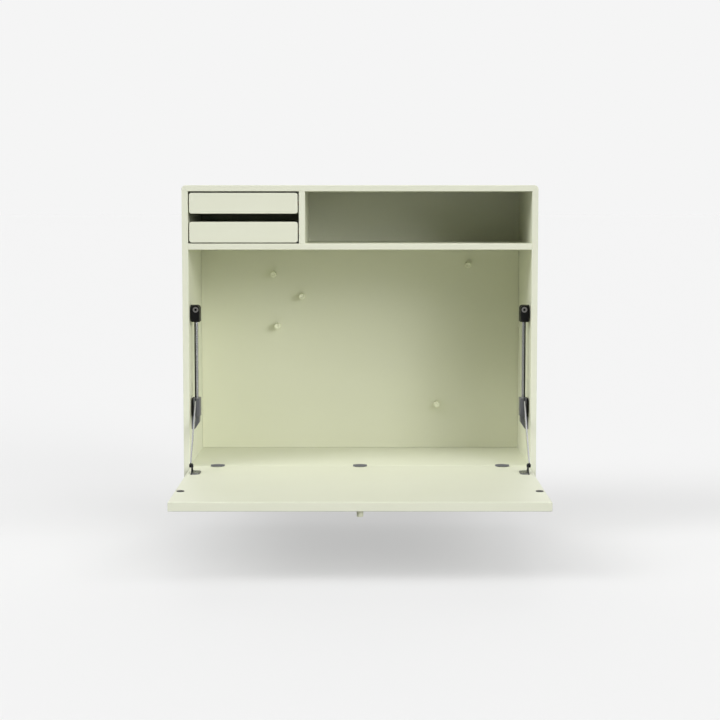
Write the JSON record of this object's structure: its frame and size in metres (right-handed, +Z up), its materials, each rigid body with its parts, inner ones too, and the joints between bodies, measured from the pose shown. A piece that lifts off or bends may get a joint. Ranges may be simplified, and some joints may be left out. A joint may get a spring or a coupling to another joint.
{
  "type": "fold down wall desk",
  "caption": "Wall hung writing cabinet with a fold down flap on braked drop stays, an open shelf, tray drawers and magnetic pegs on a steel faced back.",
  "frame": {"origin": "on the wall plane, midway between the two screw holes of the wall rail", "axes": "+X to the right of someone facing the desk, +Y into the wall, +Z up"},
  "size_m": [0.696, 0.71, 0.582],
  "materials": {
    "lacquered_board": "fine satin lacquer on fibreboard",
    "lacquered_steel": "fine satin lacquer on sheet steel",
    "lacquered_knob": "satin lacquer on turned wood",
    "beech": "planed and waxed",
    "black_plastic": "fine moulded texture",
    "grey_plastic": "fine moulded texture",
    "die_cast_zinc": "dark grey satin coating",
    "steel": "bright drawn steel",
    "black_steel": "blackened steel",
    "magnet": "nickel plated",
    "galvanised_steel": "galvanised sheet",
    "brake_rubber": "moulded friction pad"
  },
  "bodies": {
    "carcass": {"side_panel_left": "lacquered_board", "side_panel_right": "lacquered_board", "top_panel": "lacquered_board", "bottom_panel": "lacquered_board", "mitre_splines": "beech", "shelf": "lacquered_board", "divider": "lacquered_board", "carcass_dowels": "beech", "back_panel": "lacquered_board", "magnet_sheet": "lacquered_steel", "floor_board": "lacquered_board", "floor_screws": "steel", "carcass_screws": "steel", "drawer_runners": "beech", "wall_rail": "galvanised_steel", "hanger_hooks": "galvanised_steel", "hinge_floor_leaves": "die_cast_zinc", "hinge_pins": "steel", "stay_head_left": "black_plastic", "stay_head_right": "black_plastic", "stay_foot_left": "grey_plastic", "stay_foot_right": "grey_plastic", "stay_rods": "steel", "catch_magnets": "magnet"},
    "flap": {"flap_panel": "lacquered_board", "hinge_flap_leaves": "die_cast_zinc", "flap_screws": "steel", "strike_discs": "black_steel", "flap_knob": "lacquered_knob", "knob_stud": "steel", "flap_bracket_left": "die_cast_zinc", "flap_bracket_right": "die_cast_zinc", "link_pins": "black_steel"},
    "link_left": {"stay_link_left": "steel"},
    "brake_left": {"slider_left": "grey_plastic", "brake_pad_left": "brake_rubber", "brake_screw_left": "steel"},
    "link_right": {"stay_link_right": "steel"},
    "brake_right": {"slider_right": "grey_plastic", "brake_pad_right": "brake_rubber", "brake_screw_right": "steel"},
    "drawer_upper": {"drawer_upper_front": "lacquered_board", "drawer_upper_sides": "lacquered_board", "drawer_upper_back": "lacquered_board", "drawer_upper_bottom": "lacquered_board"},
    "drawer_lower": {"drawer_lower_front": "lacquered_board", "drawer_lower_sides": "lacquered_board", "drawer_lower_back": "lacquered_board", "drawer_lower_bottom": "lacquered_board"},
    "wall_peg_1": {"peg_1": "lacquered_knob", "peg_magnet_1": "magnet"},
    "wall_peg_2": {"peg_2": "lacquered_knob", "peg_magnet_2": "magnet"},
    "wall_peg_3": {"peg_3": "lacquered_knob", "peg_magnet_3": "magnet"},
    "wall_peg_4": {"peg_4": "lacquered_knob", "peg_magnet_4": "magnet"},
    "wall_peg_5": {"peg_5": "lacquered_knob", "peg_magnet_5": "magnet"}
  },
  "joints": [
    {"name": "flap_hinge", "type": "hinge", "parent": "carcass", "child": "flap", "pos_m": [0, -0.284, -0.472], "axis": [-1, 0, 0], "range_deg": [0, 90]},
    {"name": "link_left_pivot", "type": "hinge", "parent": "flap", "child": "link_left", "pos_m": [-0.3268, -0.38, -0.4575], "axis": [1, 0, 0], "range_deg": [0, 135.32]},
    {"name": "brake_left_slide", "type": "slide", "parent": "carcass", "child": "brake_left", "axis": [0, 0, 1], "range_m": [0, 0.12721]},
    {"name": "link_right_pivot", "type": "hinge", "parent": "flap", "child": "link_right", "pos_m": [0.3268, -0.38, -0.4575], "axis": [1, 0, 0], "range_deg": [0, 135.32]},
    {"name": "brake_right_slide", "type": "slide", "parent": "carcass", "child": "brake_right", "axis": [0, 0, 1], "range_m": [0, 0.12721]},
    {"name": "drawer_upper_slide", "type": "slide", "parent": "carcass", "child": "drawer_upper", "axis": [0, -1, 0], "range_m": [0, 0.2]},
    {"name": "drawer_lower_slide", "type": "slide", "parent": "carcass", "child": "drawer_lower", "axis": [0, -1, 0], "range_m": [0, 0.2]},
    {"name": "peg_1_pull", "type": "slide", "parent": "carcass", "child": "wall_peg_1", "axis": [0, -1, 0], "range_m": [0, 0.04]},
    {"name": "peg_2_pull", "type": "slide", "parent": "carcass", "child": "wall_peg_2", "axis": [0, -1, 0], "range_m": [0, 0.04]},
    {"name": "peg_3_pull", "type": "slide", "parent": "carcass", "child": "wall_peg_3", "axis": [0, -1, 0], "range_m": [0, 0.04]},
    {"name": "peg_4_pull", "type": "slide", "parent": "carcass", "child": "wall_peg_4", "axis": [0, -1, 0], "range_m": [0, 0.04]},
    {"name": "peg_5_pull", "type": "slide", "parent": "carcass", "child": "wall_peg_5", "axis": [0, -1, 0], "range_m": [0, 0.04]}
  ],
  "couplings": [
    {"joint": "link_left_pivot", "follows": "flap_hinge", "ratio": 1.5035},
    {"joint": "brake_left_slide", "follows": "flap_hinge", "m_per_rad": 0.080984},
    {"joint": "link_right_pivot", "follows": "flap_hinge", "ratio": 1.5035},
    {"joint": "brake_right_slide", "follows": "flap_hinge", "m_per_rad": 0.080984}
  ]
}
